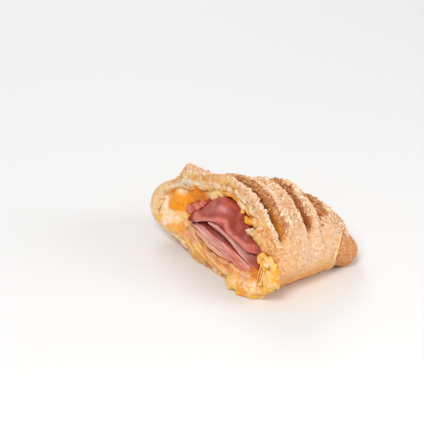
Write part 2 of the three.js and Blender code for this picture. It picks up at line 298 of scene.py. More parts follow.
# %% Materials
class Surface:
    """A material, with one method that makes any node in it."""

    def __init__(self, name):
        self.material = bpy.data.materials.new(name)
        self.material.use_nodes = True
        self.tree = self.material.node_tree
        self.tree.nodes.clear()
        self.where = self.node("ShaderNodeTexCoord", output="Object")

    def node(self, kind, inputs=None, output=0, **settings):
        """Any node: its settings come first, and then the values or links of its sockets."""
        made = self.tree.nodes.new(kind)
        for name, value in settings.items():
            setattr(made, name, value)
        for name, value in (inputs or {}).items():
            if isinstance(value, Term):
                self.tree.links.new(value.socket, made.inputs[name])
            else:
                made.inputs[name].default_value = value
        return Term(self, made.outputs[output])

    def value(self, name):
        """A number that was kept on the vertices."""
        return self.node("ShaderNodeAttribute", output="Fac", attribute_name=name)

    def paint(self):
        """The colour that was laid on the vertices."""
        return self.node("ShaderNodeAttribute", output="Color", attribute_name="paint")

    def noise(self, size, detail, where=None):
        """Cloudy noise between 0 and 1, in clouds about `size` millimetres across."""
        inputs = {"Vector": where or self.where, "Scale": 1 / (size * MM), "Detail": detail}
        return self.node("ShaderNodeTexNoise", inputs)

    def turned(self, turn, stretch):
        """The place on the piece, turned about x and stretched along x, y and z."""
        inputs = {"Vector": self.where, "Rotation": (turn, 0, 0), "Scale": stretch}
        return self.node("ShaderNodeMapping", inputs, vector_type="POINT")

    def mix(self, amount, first, second, blend="MIX"):
        """The first colour where amount is 0 and the second where it is 1."""
        inputs = {0: amount, 6: first, 7: second}
        return self.node("ShaderNodeMix", inputs, 2, data_type="RGBA", blend_type=blend)

    def bump(self, height, depth, under=None):
        """Relief `depth` millimetres deep where height goes from 0 to 1."""
        inputs = {"Height": height, "Distance": depth * MM, "Strength": 1.0}
        if under:
            inputs["Normal"] = under
        return self.node("ShaderNodeBump", inputs)

    def close(self, **inputs):
        """The shader itself, with each input named in words."""
        named = {name.replace("_", " "): value for name, value in inputs.items()}
        shader = self.node("ShaderNodeBsdfPrincipled", named)
        ending = self.tree.nodes.new("ShaderNodeOutputMaterial")
        self.tree.links.new(shader.socket, ending.inputs["Surface"])
        return self.material


# %% [markdown]
# ## The slashes
#
# Before baking, the loaf was slashed three times, and in the oven each band behind a slash rose.
# So along a slash there is a thin lip in front, a dark gap, a brown rough face where the dough
# tore open, and then a crest, on which most crumbs lie. There are far too many vertices to choose
# those zones by hand, but they all depend on one number: how far a point lies behind the slash.

# %% Zones along the slashes
# Each slash runs over the loaf between two ends, given by x and y. Its brown face has a width at
# each end. Some glow with fat at the low end, and some are shallow above it.
SLASHES = (
    {"low": (6.5, -9.8), "high": (8, 32.1), "face": (8, 12), "glow": 1, "shallow": 0},
    {"low": (33.6, -4.5), "high": (41, 36.8), "face": (4, 5.5), "glow": 0.2, "shallow": 0.8},
    {"low": (46, -1.5), "high": (56, 35.6), "face": (8, 14), "glow": 0, "shallow": 0.5},
)


def slash_zones(points):
    """How much each point belongs to a lip, a gap, a brown face and a crest."""
    names = ("lip", "gap", "deep", "face", "crest", "glow", "shallow")
    zones = {name: np.zeros(len(points)) for name in names}
    ragged = 0.9 * lumps(points, 4, 21) + 0.4 * lumps(points, 1.7, 22)
    for slash in SLASHES:
        (low_x, low_y), (high_x, high_y) = slash["low"], slash["high"]
        run = (points[:, 1] - low_y) / (high_y - low_y)
        behind = points[:, 0] - low_x - (high_x - low_x) * run + 0.4 * ragged
        width = np.interp(run, (0, 1), slash["face"])
        here = step(run, -0.04, 0.1) * step(run, 1.35, 1.05)
        shallow = slash["shallow"] * step(run, 0.2, 0.42)
        found = {
            "lip": hill(behind, -3.2, 1.2),
            "gap": hill(behind, 0.6, 1.9) * (1 - shallow),
            "deep": hill(behind, 2.2, 2.4) * (1 - 0.6 * shallow),
            "face": step(behind, -0.5, 1) * step(behind + 1.6 * ragged, width + 2, width - 2),
            "crest": hill(behind + ragged, width + 2.5, 2.6),
            "glow": slash["glow"] * hill(behind, 1.6, 2.6) * hill(run, 0.08, 0.24),
            "shallow": shallow * hill(behind, 0.5, 5),
        }
        for name, amount in found.items():
            zones[name] = np.maximum(zones[name], here * amount)
    return zones


print("slashes:", len(SLASHES))

# %% [markdown]
# ## The crust's body
#
# The crust is one piece of dough about 8 mm thick, so it starts as a fine copy of its solid. To
# colour and roughen it in the right places, the script has to know which part of it is which: the
# skin outside, the wall of the hollow, the torn face of the cut, and the sides of the slashes. A
# vertex's normal tells that, seen against the direction away from the loaf's heart.

# %% Copy the crust and tell its parts apart
HEART = np.array((44, 28))  # y and z of the middle of the filling at the cut
# Dough that the cut has torn loose on the near side, and dough that has closed the low end of the
# middle slash: where each ball is and its radii.
EXTRA_DOUGH = (
    ((-0.3, 9.4, 43.0), (1.3, 3.8, 1.7)),
    ((0.2, 4.5, 42.0), (2.0, 5.0, 4.0)),
    ((0.4, 0.5, 40.0), (2.2, 4.5, 4.5)),
    ((0.6, -2.0, 36.5), (2.2, 3.5, 4.0)),
    ((35.6, -3.2, 36.8), (1.9, 2.0, 2.4)),
    ((34.4, -5.6, 34.6), (2.0, 2.2, 2.6)),
    ((33.2, -7.6, 32.6), (2.0, 2.2, 2.8)),
    ((32.2, -9.2, 30.6), (2.0, 2.2, 3.0)),
)

extra_dough = [ball(*size) for size in EXTRA_DOUGH]
crust = fine_copy("crust", "crust_dough", voxel=0.8, smoothing=3, extras=extra_dough)
points = read_points(crust)
normals = read_normals(crust)
x, y, z = points.T

# The loaf narrows towards its closed end, and its heart comes down with it.
narrowing = 1 - 0.75 * step(x, 20, LOAF_LENGTH)
away = points[:, 1:] - np.outer(narrowing, HEART)
away /= np.linalg.norm(away, axis=1, keepdims=True)
facing = (normals[:, 1:] * away).sum(1)

at_cut = step(x, 5.5, 3.5) * step(normals[:, 0], -0.35, -0.75)
at_end = step(x, 50, 62)
outside = np.maximum(step(facing, -0.05, 0.3), at_end) * (1 - at_cut)
inside = step(facing, 0.05, -0.3) * (1 - at_cut) * (1 - at_end)
slash_side = np.clip(1 - outside - inside - at_cut, 0, 1) * step(z, 20, 30)
shares = [round(part.mean(), 2) for part in (outside, inside, at_cut, slash_side)]
print("share of skin, hollow, cut and slash sides:", shares)

# %% [markdown]
# The cut face is torn: it has grooves that follow the rim, because dough tears along its layers.
# For those, each vertex of the cut needs its depth below the skin, from 0 at the skin to 1 at the
# hollow, which two nearest-point searches give.


# %% Depth below the skin
def distance_to(chosen, points):
    """How far each point is from the nearest of the chosen ones."""
    tree = KDTree(int(chosen.sum()))
    for number, point in enumerate(points[chosen]):
        tree.insert(point, number)
    tree.balance()
    return np.array([tree.find(point)[2] for point in points])


SURELY = 0.6  # above this share, a vertex counts as skin, as hollow or as cut
to_skin = distance_to(outside > SURELY, points)
to_hollow = distance_to(inside > SURELY, points)
depth = to_skin / np.maximum(to_skin + to_hollow, 0.01)
RIM_RADIUS = 42
angle = np.arctan2(z - HEART[1], y - HEART[0])
around = RIM_RADIUS * np.stack([np.cos(angle), np.sin(angle)], 1)
# Noise at these places is drawn out along the rim, and changes fast from layer to layer.
along_rim = np.column_stack([0.3 * around, 9 * depth])
# On the near side the skin rolls over the front of the rim, and little of the torn edge is left.
skin_on_rim = np.interp(y, (8, 16, 24, 34), (7.5, 5.5, 3.4, 0))
rolled = at_cut * step(to_skin - skin_on_rim, 0.8, -0.8) * step(y, 36, 30) * step(z, 28, 34)
thickness = (to_skin + to_hollow)[at_cut > SURELY].mean()
print("the crust is", thickness.round(1), "mm thick at the cut")

# %% [markdown]
# Crumb and skin differ in relief. The skin is a little blistered, and rough on the brown faces.
# The cut is grooved along its layers, and its inner edge is ragged. At the closed end a fold of
# the near side overlaps the tail. A brush could sculpt all this, but noise repeats exactly, and
# moving each vertex along its normal keeps the relief where its mask is.

# %% Relief of the crust
# The edge of the fold beside the tail, as z and x, and the lowest crumbs, as x and z.
TAIL_FOLD = ((9, 53.5), (16, 51.5), (21, 54), (26, 58), (30, 64))
CRUMB_LINE = ((0, 41), (12, 46), (25, 47), (36, 43), (45, 37), (60, 31), (75, 26))
# Where the oven raised a band a little more, or less, than its neighbours: place, reach, rise.
RISES = (
    ((49, 29, 53), (6, 8, 8), 1.8),
    ((41, 46, 53), (4.5, 8, 8), 2.4),
    ((50.5, 38, 54), (4.5, 14, 8), -2.2),
    ((5, 83.5, 57), (5, 3, 5), 2.4),
    ((60, 25, 45), (5, 8, 8), -2.2),
    ((46, 13, 55), (6, 5, 6), -1.2),
    ((8, 81, 60), (5, 4, 4), 0.6),
    ((75.5, -4, 19), (6, 6, 8), -1.6),
)

zones = slash_zones(points)
glow = zones["glow"] * np.maximum(outside, slash_side)
shallow_side = zones["shallow"] * slash_side
zones = {name: amount * outside * step(z, 26, 32) for name, amount in zones.items()}
above_line = z - height_on(CRUMB_LINE, x) - 0.25 * np.maximum(0, y - 60)
crumbed = step(above_line + 2 * lumps(points, 6, 29), -4, 5) * outside
past_fold = x - height_on(TAIL_FOLD, z)
near_fold = outside * step(y, 6, -1) * step(z, 33, 28) * step(x, 44, 50)
tail = near_fold * step(past_fold, -0.4, 0.6)

relief = outside * (0.4 * lumps(points, 17) + 0.2 * lumps(points, 6, 3))
relief += outside * 0.14 * lumps(points, 2, 13)
relief += crumbed * (0.3 * lumps(points, 3.2, 5) + 0.28 * lumps(points, 1.6, 7))
relief += zones["face"] * (0.55 * lumps(points, 2.4, 15) + 0.45 * lumps(points, 1.4, 17))
relief += zones["lip"] * (0.5 + 0.5 * lumps(points, 2.5, 19)) - 1.4 * zones["gap"]
relief += 1.2 * shallow_side
for middle, reach, rise in RISES:
    relief += outside * rise * spot(points, middle, reach)
torn = at_cut - 0.7 * rolled
relief += torn * (1.1 * lumps(along_rim, 2.4, 2) + 0.6 * lumps(points, 2.0, 9))
relief += inside * 0.5 * lumps(points, 7, 11)
relief += near_fold * (1.1 * hill(past_fold, -1.2, 1.6) - 0.9 * hill(past_fold, 2, 3))
points += normals * (relief * step(z, 0.3, 4))[:, None]

raggedness = step(x, 10, 4) * step(depth, 0.55, 0.95) * step(z, 8, 16)
points[:, 1:] -= away * (raggedness * 1.8 * lumps(points, 4.5, 23))[:, None]
points[:, 2] = np.maximum(points[:, 2], 0)
write_points(crust, points)
print("relief:", relief.min().round(1), "to", relief.max().round(1), "mm")

# %% [markdown]
# Baked dough goes from cream to golden to brown as it gets hotter. The sides stay pale gold, a
# little deeper towards the table. The tops of the bands are tan, their faces brown, and the gaps
# dark brown with painted shade. The tail has browned evenly. An image could hold all this, but it
# would need to be unwrapped. Paint on the vertices follows the same masks as the relief.

# %% Paint on the skin
mottle = lumps(points, 9, 25)
speckle = lumps(points, 1.5, 27)
flour = lumps(points, 2.4, 28)
paint = coat(points, 232, 190, 150)
paint = brush(paint, 0.6 * step(speckle, 0, 0.7), 246, 216, 188)
paint = brush(paint, 0.5 * step(flour, -0.1, -0.7), 228, 170, 116)
paint = brush(paint, 0.45 * step(mottle, -0.2, 0.7), 236, 176, 108)
low_gold = step(z + 4 * mottle, 24, 8)
paint = brush(paint, 0.9 * low_gold, 238, 165, 70)
paint = brush(paint, 0.5 * low_gold * step(flour, 0, 0.7), 244, 197, 130)
oiled = step(x + 2 * mottle, 22, 6)
paint = brush(paint, 0.5 * oiled, 236, 176, 112)
paint = brush(paint, 0.5 * oiled * step(flour, 0, 0.6) * step(z, 50, 40), 240, 172, 82)
paint = brush(paint, 0.5 * oiled * step(speckle, 0.2, 0.8) * step(z, 50, 40), 252, 212, 140)
paint = brush(paint, 0.8 * crumbed, 230, 182, 138)
paint = brush(paint, crumbed * 0.4 * step(speckle + 0.4 * mottle, 0.1, 0.8), 196, 134, 84)
paint = brush(paint, crumbed * 0.7 * step(speckle, -0.2, -0.8), 248, 218, 186)
paint = brush(paint, zones["face"], 200, 132, 74)
paint = brush(paint, zones["face"] * step(speckle, 0, 0.6), 158, 90, 40)
paint = brush(paint, zones["face"] * 0.8 * step(speckle, -0.3, -0.8), 228, 168, 112)
paint = brush(paint, 0.6 * zones["face"] * step(x, 42, 50) * step(y, 30, 16), 164, 96, 44)
paint = brush(paint, zones["crest"] * 0.5, 238, 196, 156)
# The lips are painted pale: a painted highlight along their edge.
paint = brush(paint, zones["lip"], 246, 212, 184)
# The gap, the dough deep in it and the slash sides: baked brown, darkened further as painted shade.
paint = brush(paint, 0.8 * zones["deep"], 160, 86, 22)
paint = brush(paint, zones["gap"], 124, 56, 0)
paint = brush(paint, slash_side, 126, 58, 0)
paint = brush(paint, shallow_side, 206, 138, 78)
# The gaps of the two rear slashes get a lighter brown, with less painted shade.
rear_slashes = step(x, 24, 32) * (1 - shallow_side) * (1 - at_cut) * (1 - inside)
rear_gap = np.clip(slash_side + zones["gap"] + zones["deep"], 0, 1) * rear_slashes
paint = brush(paint, 0.75 * rear_gap, 186, 104, 28)
paint = brush(paint, glow, 224, 146, 40)
paint = brush(paint, tail, 216, 148, 88)
paint = brush(paint, tail * 0.8 * step(speckle, 0.1, 0.8), 192, 120, 62)
paint = brush(paint, tail * 0.5 * step(flour, 0.2, 0.8), 236, 178, 122)
# Along the fold's edge: a painted highlight on its rounded edge, and painted shade in the dip just
# past it.
paint = brush(paint, near_fold * hill(past_fold, -1.4, 1.1), 248, 212, 160)
paint = brush(paint, near_fold * hill(past_fold, 1.4, 1.2), 190, 120, 66)
paint = brush(paint, 0.8 * outside * spot(points, (13.7, -14.4, 14), (3, 4, 1.6)), 196, 126, 68)
print("share of the crust that crumbs may cover:", crumbed.mean().round(2))

# %% [markdown]
# The torn cut shows cream crumb in layers, with butter yellow where oil has soaked in. Each layer
# is a band of depth below the skin, broken up by noise that runs along the rim. The far rim is
# smooth and pale. On the near side the skin has rolled over the rim, and its torn edge is yellow.

# %% Paint on the cut and in the hollow
layer = lumps(along_rim, 1.8, 31)
blotch = lumps(points, 4, 33)
crumb = coat(points, 240, 198, 136)
far_rim = step(y, 88, 97)
crumb = brush(crumb, 0.7 * far_rim, 254, 206, 142)
crumb = brush(crumb, 0.8 * step(depth, 0.22, 0.08) * step(blotch, -0.2, 0.3), 226, 168, 104)
crumb = brush(crumb, hill(depth, 0.34, 0.1) * step(layer, -0.7, 0), 240, 168, 56)
milky = 0.3 + 0.7 * step(y, 54, 62) * step(y, 94, 88)
crumb = brush(crumb, milky * hill(depth, 0.6, 0.15) * step(layer, 0.6, -0.1), 254, 236, 206)
crumb = brush(crumb, step(depth, 0.76, 0.92), 246, 180, 66)
drawn_out = hill(depth, 0.7, 0.07) * step(y, 40, 34) * step(y, 10, 16)
crumb = brush(crumb, drawn_out * step(layer, 0.7, 0.2), 255, 236, 208)
crumb = brush(crumb, (0.9 - 0.5 * far_rim) * step(layer, 0.3, 0.7), 234, 158, 60)
crumb = brush(crumb, (0.8 - 0.6 * far_rim) * step(blotch, 0.3, 0.7), 212, 134, 62)
crumb = brush(crumb, 0.8 * step(blotch, -0.45, -0.8), 255, 240, 214)
crumb = brush(crumb, 0.45 * spot(points, (1.5, 50, 61), (9, 12, 5)), 226, 160, 84)
crumb = brush(crumb, spot(points, (2, 76, 50), (9, 17, 5)) * hill(depth, 0.55, 0.22), 226, 212, 190)
crumb = brush(crumb, 0.7 * spot(points, (2, 46, 61), (9, 3, 2.5)), 255, 236, 206)
crumb = brush(crumb, 0.55 * far_rim, 252, 218, 168)

rim_skin = coat(points, 232, 184, 144)
rim_skin = brush(rim_skin, 0.6 * step(speckle, 0.1, 0.8), 206, 146, 100)
rim_skin = brush(rim_skin, 0.8 * step(flour, -0.1, -0.7), 250, 220, 194)
crumb = cover(crumb, rolled, rim_skin)
near_rim = step(y, 12, 3) * step(z, 28, 34)
torn_skin = coat(points, 244, 192, 122)
torn_skin = brush(torn_skin, step(blotch, 0.1, 0.6), 228, 158, 84)
torn_skin = brush(torn_skin, 0.8 * step(layer, 0.1, 0.6), 226, 150, 62)
torn_skin = brush(torn_skin, step(speckle, 0.2, 0.8), 250, 212, 152)
crumb = cover(crumb, near_rim * step(depth, 0.95, 0.8), torn_skin)
crumb = brush(crumb, near_rim * hill(depth, 1.0, 0.16), 254, 212, 130)

lining = brush(coat(points, 238, 198, 130), step(mottle, 0, 0.6), 232, 160, 70)
lining = brush(lining, step(y, 86, 96), 254, 220, 176)
lining = brush(lining, spot(points, (4, 24, 53), (8, 6, 5)), 254, 214, 160)
paint = cover(paint, at_cut, crumb)
paint = cover(paint, inside, lining)

# Fine pale grains show everywhere but in the slashes, and less near the table.
dusted = 1 - 0.9 * np.clip(slash_side + zones["gap"] + 0.7 * zones["deep"] + 0.6 * glow, 0, 1)
dusted *= 1 - 0.45 * low_gold
smooth = at_cut * far_rim
keep(crust, paint, opened=at_cut + inside - 0.8 * rolled, dusted=dusted, smooth=smooth)
print("share of the crust that is smooth rim:", smooth.mean().round(3))

# %% [markdown]
# Baked crust is dull, and oily crumb is glossier. The vertices are 0.8 mm apart, too far for
# freckles and grain, so two sizes of noise in the material add those, as colour and as bump.
# Nodes need no image and stay sharp from close by.

# %% Crust material
dough = Surface("baked_dough")
freckle = dough.noise(2.6, 4)
fine = dough.noise(1.2, 3)
opened = dough.value("opened")
dusted = dough.value("dusted")
grainy = 1 - 0.7 * dough.value("smooth")
freckled = freckle.rise(0.5, 0.75) * 0.45 * grainy
colour = dough.mix(freckled, dough.paint(), tone(226, 160, 96), "MULTIPLY")
colour = dough.mix(fine.rise(0.52, 0.7) * 0.5 * dusted, colour, tone(255, 234, 208))
colour = dough.mix(fine.rise(0.46, 0.28) * 0.7 * grainy, colour, tone(216, 154, 98), "MULTIPLY")
grain = dough.bump(freckle, 0.6)
grain = dough.bump(fine, 0.75, under=grain)
dough_material = dough.close(
    Base_Color=colour,
    Roughness=0.78 - 0.32 * opened - 0.1 * fine,
    Normal=grain,
    Subsurface_Weight=0.1,
    Subsurface_Radius=(0.004, 0.002, 0.001),
    Specular_IOR_Level=0.3,
)
finish_piece(crust, dough_material, "crust", "crust")

# %% [markdown]
# ## Baked-on crumbs
#
# Grated crumbs lie on the crests, the lips and the top, and hardly any on the near side. One
# crumb is an icosphere, squeezed and with its corners moved at random. Ten of them are enough:
# copies that are turned, sized and sunk into the crust a little don't look alike.


# %% Model a few crumbs by hand
def rough_crumb(number):
    """The corners and faces of one crumb, about 2 across."""
    bpy.ops.object.select_all(action="DESELECT")
    bpy.ops.mesh.primitive_ico_sphere_add(subdivisions=1, radius=1)
    made = bpy.context.object
    bpy.ops.object.mode_set(mode="EDIT")
    bpy.ops.transform.resize(value=(1.2, 0.95, 0.65))
    bpy.ops.transform.vertex_random(offset=0.55, uniform=0.7, normal=0.0, seed=number)
    bpy.ops.object.mode_set(mode="OBJECT")
    corners = np.array([vertex.co for vertex in made.data.vertices])
    faces = np.array([face.vertices for face in made.data.polygons])
    bpy.data.objects.remove(made)
    return corners, faces


CRUMB_KINDS = 10
CRUMB_SHAPES = [rough_crumb(number) for number in range(CRUMB_KINDS)]
CORNERS_EACH = len(CRUMB_SHAPES[0][0])
print(len(CRUMB_SHAPES), "crumbs of", CORNERS_EACH, "corners")

# %% [markdown]
# A particle system could scatter the crumbs, but its instances are lost when the model is handed
# on as a mesh. So each face of the crust gets a likelihood of holding a crumb, from the same zones
# as the paint, and faces are drawn by it. Pale crumbs lie thickest on the crests and in clumps,
# and toasted ones on the brown faces.

# %% Choose where crumbs lie
faces = crust.data.polygons
centres = read_rows(faces, "center").astype(float) / MM - CORNER
facings = read_rows(faces, "normal").astype(float)
corners = read_rows(faces, "vertices", 4, np.int32)

zones_here = slash_zones(centres)
crumbed_here = crumbed[corners].mean(1)
bare = step(centres[:, 1], 92, 104) + step(facings[:, 2], 0.1, -0.4)
bare += zones_here["gap"] + 1.5 * zones_here["glow"]
holds_crumbs = (outside + rolled)[corners].mean(1) * (1 - np.clip(bare, 0, 1))
rolled_here = rolled[corners].mean(1)
clumps = step(lumps(centres, 5, 35) + 0.5 * lumps(centres, 2.2, 36), 0.1, 0.6)

pale_density = crumbed_here * (0.08 + clumps + 2.2 * zones_here["crest"])
pale_density *= 1 - 0.85 * zones_here["face"]
pale_density += 1.3 * zones_here["lip"] * step(centres[:, 2], 30, 36)
pale_density += 3 * spot(centres, (68.8, -4, 25.5), (3, 3, 2.5))
pale_density += crumbed_here * hill(centres[:, 0], 2, 2.5)
on_rim = rolled_here * step(centres[:, 1], 4, 14)
pale_density += 0.4 * on_rim
toasted_density = crumbed_here * (0.06 + zones_here["face"] + 0.1 * clumps) + 0.1 * on_rim
print("share of faces that can hold crumbs:", (holds_crumbs > 0).mean().round(2))

# %% Scatter crumbs
SIZE_SPREAD = 0.42  # how much the crumbs differ in size
SMALLEST = 0.22  # about half the width of the smallest and of the largest crumb
LARGEST = 1.1
SLIP = 0.35  # how far a crumb may lie from the middle of its face
STANDS_OUT = 0.25  # how far its middle is above the crust, as a share of its size
dice = np.random.default_rng(11)


def scatter(name, count, density, middle_size, first, second):
    """That many crumbs on the crust, as one mesh, in colours between two."""
    share = density * holds_crumbs
    chosen = dice.choice(len(faces), count, p=share / share.sum())
    sizes = dice.lognormal(math.log(middle_size), SIZE_SPREAD, count)
    sizes = np.clip(sizes, SMALLEST, LARGEST)
    corner_parts = []
    for number, (centre, out, size) in enumerate(zip(centres[chosen], facings[chosen], sizes)):
        shape = CRUMB_SHAPES[number % len(CRUMB_SHAPES)][0]
        upright = np.array(Vector(out).to_track_quat("Z", "Y").to_matrix())
        spin = dice.uniform(0, 2 * math.pi)
        round_axis = [[math.cos(spin), -math.sin(spin), 0], [math.sin(spin), math.cos(spin), 0]]
        turn = upright @ np.array([*round_axis, [0, 0, 1]])
        slip = dice.uniform(-SLIP, SLIP, 3)
        corner_parts.append(shape @ turn.T * size + centre + slip + out * STANDS_OUT * size)
    crumb_points = np.concatenate(corner_parts)
    crumb_points[:, 2] = np.maximum(crumb_points[:, 2], ABOVE_TABLE)

    one = CRUMB_SHAPES[0][1]
    all_faces = np.concatenate([one + number * CORNERS_EACH for number in range(count)])
    mesh = bpy.data.meshes.new(name)
    mesh.from_pydata((crumb_points + CORNER) * MM, [], all_faces)
    made = bpy.data.objects.new(name, mesh)
    bpy.context.collection.objects.link(made)
    bake = np.repeat(dice.uniform(0, 1, count), CORNERS_EACH)
    keep(made, brush(coat(crumb_points, *first), step(bake, 0.2, 1), *second))
    return made


grated = scatter("grated_crumbs", 5600, pale_density, 0.41, (254, 234, 208), (232, 184, 136))
toasted = scatter("toasted_crumbs", 2200, toasted_density, 0.43, (226, 168, 112), (176, 108, 58))

# %% [markdown]
# A crumb is dry toast: dull, and pitted at half a millimetre. One material serves both kinds,
# because each crumb brings its own paint.

# %% Crumb material
crisp = Surface("crisp_crumbs")
pits = crisp.noise(0.5, 2)
crumb_material = crisp.close(
    Base_Color=crisp.mix(pits.rise(0.5, 0.8) * 0.2, crisp.paint(), tone(214, 160, 110)),
    Roughness=0.8,
    Normal=crisp.bump(pits, 0.15),
    Specular_IOR_Level=0.3,
)
finish_piece(grated, crumb_material, "crust")
finish_piece(toasted, crumb_material, "crust")

# %% [markdown]
# ## Melted cheese
#
# Two cheeses have melted into each other: an orange one, which has kept its lumps, and a pale one,
# which has run round them. The cheese starts as a copy of its solid. Balls stand for the lumps,
# drips and folds. Each is pushed into the front of the solid until it stands out by its bulge,
# and one remesh melts them all together. Metaballs would melt together too, but not with the
# solid. Each ball also tells the paint its colour: the nearer a ball, the more of its colour a
# point gets.

# %% Colours of the cheese, of dough and ham that it has run over, and of painted light and shade
DEEP = (228, 128, 0)
ORANGE = (250, 160, 0)
AMBER = (234, 156, 50)
TOFFEE = (208, 124, 44)
# Orange cheese painted darker as painted shade.
SHADED_ORANGE = (198, 102, 0)
SHADE = (150, 78, 26)
BUTTER = (247, 198, 104)
LEMON = (247, 186, 44)
CREAM = (251, 214, 150)
MILK = (254, 230, 202)
PEACH = (243, 176, 114)
ROSE = (229, 158, 122)
# The hollow's inner wall, painted paler than its own colour: painted light in the shaded hollow.
LIT_WALL = (255, 226, 168)
CRUMB = (240, 194, 134)
PINK = (240, 192, 188)

# %% Lumps on the front of the cheese
# Where each lump is (y, z), its radii along y and z, how far it bulges, and its colour.
LUMPS = (
    ((87.5, 36), (8.5, 9), 1.6, ORANGE),
    ((91, 30), (4.5, 4), 0.8, ORANGE),
    ((82, 31), (5, 4), 1.0, ORANGE),
    ((70, 45.5), (8, 8.5), 2.2, DEEP),
    # The darker side of the orange lumps: painted shade.
    ((62.5, 44), (4, 7), 1.8, SHADED_ORANGE),
    ((76, 38.5), (6, 5), 1.0, ORANGE),
    ((84.5, 42.4), (4, 2.4), 2.2, MILK),
    ((100, 24), (3, 5), 1.2, MILK),
    ((98.5, 30), (2.5, 4.5), 1.0, MILK),
    ((95.5, 17.5), (2.5, 5), 1.2, MILK),
    ((97, 36.5), (3, 5), 0.8, PEACH),
    ((91, 21), (2.5, 2.5), 0.9, MILK),
    ((86, 22), (2.5, 3), 1.0, CREAM),
    ((80.5, 24.5), (4, 2), 0.8, BUTTER),
    ((86, 14.8), (5, 2.5), 0.5, PEACH),
    ((80, 17.5), (1.6, 2.5), 1.0, AMBER),
    ((101, 16.5), (1.8, 2.5), 0.6, LEMON),
    ((76, 22.5), (3, 2.5), 0.9, PEACH),
    ((76, 27.5), (1.6, 2.5), 0.6, ORANGE),
    ((74, 19.3), (1.6, 1.0), -0.8, SHADE),
    ((69.5, 20.4), (4, 1.4), 0.4, ROSE),
    ((70, 15), (5, 2.2), 0.5, ROSE),
    ((62, 17), (7, 2), 0.3, PEACH),
    ((50, 14.5), (8, 2), 0.2, ROSE),
    ((38, 12), (6, 2), 0.2, TOFFEE),
    ((27, 10), (3, 2), 0.6, AMBER),
    ((67, 11), (8, 2), 0.2, BUTTER),
    ((56, 8.5), (3, 1.5), 0.2, AMBER),
    ((49, 11.5), (5, 2), 0.2, PEACH),
    ((42, 9.5), (6, 2.5), 0.2, BUTTER),
    ((60, 7), (5, 2), 0, LEMON),
    ((50, 7), (4, 2), -0.3, AMBER),
    ((43, 6), (5, 2), -0.3, CREAM),
    ((35, 10), (3, 2), 0.2, PEACH),
    ((33, 6), (4, 2), 0.2, BUTTER),
    ((29, 7), (3, 2), 0.6, PEACH),
    ((25, 4), (3, 2.2), 0.8, BUTTER),
    ((20.5, 10.3), (2.6, 1.8), 0.8, PEACH),
    ((19, 7), (3, 2), 1.2, CREAM),
    ((21.5, 2.0), (2.8, 1.8), 2.2, BUTTER),
    ((17, 4), (3, 2), 1.2, BUTTER),
    ((14.5, 9.5), (2.4, 1.6), 0.9, PEACH),
    ((13.5, 6.4), (2, 1.4), 0.6, AMBER),
    ((11.8, 11.4), (2.4, 1.6), 0.8, ROSE),
    ((9.6, 8.4), (2, 1.5), 1.1, PEACH),
    ((5.2, 9.8), (2, 1.5), 1.2, CREAM),
    ((1.6, 10.8), (2, 1.7), 1.2, MILK),
    ((6.8, 12), (2.2, 1.4), 0.6, PEACH),
    ((3, 13.2), (2.2, 1.5), 0.6, AMBER),
    ((-0.6, 14.6), (2, 2.2), 0.4, DEEP),
    ((12, 3.8), (2.5, 2), 0.8, AMBER),
    ((8.4, 5), (1.6, 1.4), 0.6, ORANGE),
    ((4.5, 6.8), (2.2, 1.6), 0.7, CREAM),
    ((1.2, 6), (2.2, 2.2), 0.6, BUTTER),
    ((-3.2, 11.5), (1.8, 2.4), 0.7, AMBER),
    ((-3, 7.5), (2.2, 2), 0.6, BUTTER),
    ((-7.4, 12), (2.4, 2.6), 0.9, BUTTER),
    ((-7.5, 8.5), (2.4, 2), 0.6, LEMON),
    ((-11.6, 12.6), (2.6, 2.2), 0.8, LEMON),
    ((-8.4, 19), (1.5, 5), 1.4, BUTTER),
    ((-12, 18.5), (2.4, 6), 1.5, CREAM),
    ((-15, 20.8), (1.8, 3.2), 1.0, LEMON),
    ((-15.3, 25.6), (2.2, 1.4), 0.6, ORANGE),
    ((-15.5, 16), (2, 2.4), 0.8, BUTTER),
    ((-17.5, 20), (1.1, 4.5), 0.8, AMBER),
    ((-12.5, 28), (2, 3), 0.9, BUTTER),
)
print("lumps on the front:", len(LUMPS))

